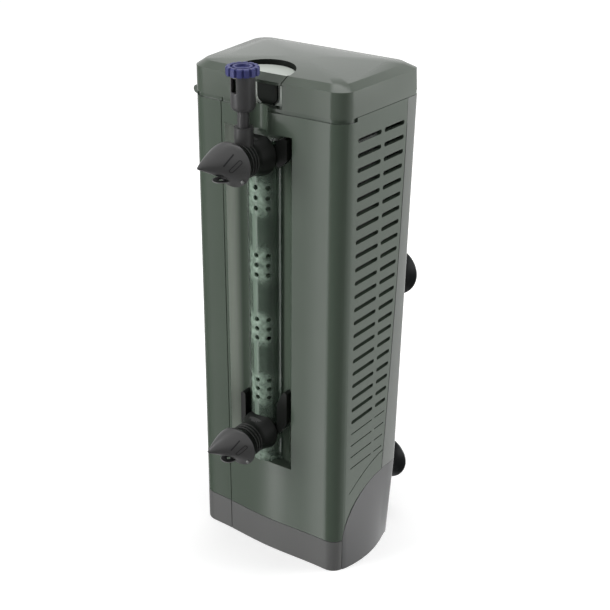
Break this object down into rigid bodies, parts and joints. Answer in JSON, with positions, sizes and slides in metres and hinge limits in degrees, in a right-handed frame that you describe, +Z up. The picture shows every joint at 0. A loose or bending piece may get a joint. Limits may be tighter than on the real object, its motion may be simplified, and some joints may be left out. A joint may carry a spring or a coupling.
{
  "type": "submersible aquarium filter",
  "caption": "Tall submersible aquarium filter with side grilles, flip lid, front spray channel, two turning hooded outlets, air valve, flow selector, base pump and suction-cup bracket.",
  "frame": {"origin": "centre of the housing's underside, on the floor it stands on", "axes": "+Z up along the housing, front (outlet side) faces -Y, +X is to the right seen from the front"},
  "size_m": [0.1232, 0.1295, 0.3316],
  "materials": {
    "housing": "satin moulded, grey-green",
    "rear_shell": "satin moulded, lighter grey",
    "base_strip": "satin moulded, dark grey",
    "side_cover": "satin moulded, mid grey",
    "base_dark": "satin moulded",
    "feet": "matte",
    "screw_steel": "plain stainless",
    "motor_resin": "cast resin",
    "bush_rubber": "matte",
    "shaft_white": "polished, white",
    "magnet": "bonded ferrite",
    "impeller_white": "moulded, off-white",
    "channel_clear": "smoky clear",
    "outlet_black": "satin black",
    "hood_grey": "satin dark grey",
    "valve_grey": "satin dark grey",
    "knob_blue": "satin blue",
    "cap_light": "satin, light grey",
    "lid": "satin moulded, grey-green",
    "foam_dark": "open cell foam",
    "floss": "fibre floss",
    "chamber_clear": "clear tinted",
    "media_stone": "rough sintered rings",
    "bracket_dark": "satin black",
    "cup_rubber": "soft, slightly glossy"
  },
  "bodies": {
    "housing": {"housing_right": "housing", "housing_left": "housing", "housing_back": "rear_shell", "base_front": "base_strip", "base_front_left": "base_strip", "pump_cover_right": "side_cover", "pump_cover_left": "side_cover", "base_plate": "base_dark", "base_feet": "feet", "base_screws": "screw_steel", "bay_floor": "base_dark", "motor_block": "motor_resin", "shaft_bush_lower": "bush_rubber", "shaft_bush_upper": "bush_rubber", "impeller_shaft": "shaft_white", "pump_chamber": "base_dark", "riser_duct": "base_dark", "spray_channel": "channel_clear", "outlet_body_upper": "outlet_black", "outlet_body_lower": "outlet_black", "outlet_seals": "bush_rubber", "valve_tube": "valve_grey", "valve_body": "valve_grey", "hinge_pins": "screw_steel", "media_frame": "base_dark", "foam_pad_right": "foam_dark", "foam_pad_left": "foam_dark", "cartridge_right": "floss", "cartridge_left": "floss", "media_chamber": "chamber_clear", "media_rings": "media_stone", "cable_gland": "bush_rubber"},
    "lid": {"lid": "lid"},
    "upper_hood": {"hood_ring_upper": "outlet_black", "hood_upper": "hood_grey"},
    "lower_hood": {"hood_ring_lower": "outlet_black", "hood_lower": "hood_grey"},
    "air_dial": {"valve_knob": "knob_blue", "valve_needle": "screw_steel"},
    "selector": {"selector_cap": "cap_light", "selector_grip": "outlet_black", "flow_gate": "impeller_white"},
    "rotor": {"rotor_magnet": "magnet", "impeller": "impeller_white"},
    "bracket": {"rear_bracket": "bracket_dark", "bracket_screws": "screw_steel", "cup_studs": "bracket_dark", "suction_cups": "cup_rubber"}
  },
  "joints": [
    {"name": "lid_hinge", "type": "hinge", "parent": "housing", "child": "lid", "pos_m": [0, 0.0314, 0.3155], "axis": [-1, 0, 0], "range_deg": [0, 90]},
    {"name": "upper_hood_turn", "type": "hinge", "parent": "housing", "child": "upper_hood", "pos_m": [-0.0045, -0.0582, 0.2783], "axis": [0, -1, 0], "continuous": true},
    {"name": "lower_hood_turn", "type": "hinge", "parent": "housing", "child": "lower_hood", "pos_m": [-0.0045, -0.0582, 0.0915], "axis": [0, -1, 0], "continuous": true},
    {"name": "air_dial_turn", "type": "hinge", "parent": "housing", "child": "air_dial", "pos_m": [-0.0045, -0.0516, 0.3267], "axis": [0, 0, 1], "range_deg": [0, 270]},
    {"name": "selector_lift", "type": "slide", "parent": "housing", "child": "selector", "axis": [0, 0, 1], "range_m": [0, 0.024]},
    {"name": "rotor_spin", "type": "hinge", "parent": "housing", "child": "rotor", "pos_m": [0, 0.002, 0.04], "axis": [0, 0, 1], "continuous": true},
    {"name": "bracket_slide", "type": "slide", "parent": "housing", "child": "bracket", "axis": [0, 0, 1], "range_m": [0, 0.045]}
  ]
}
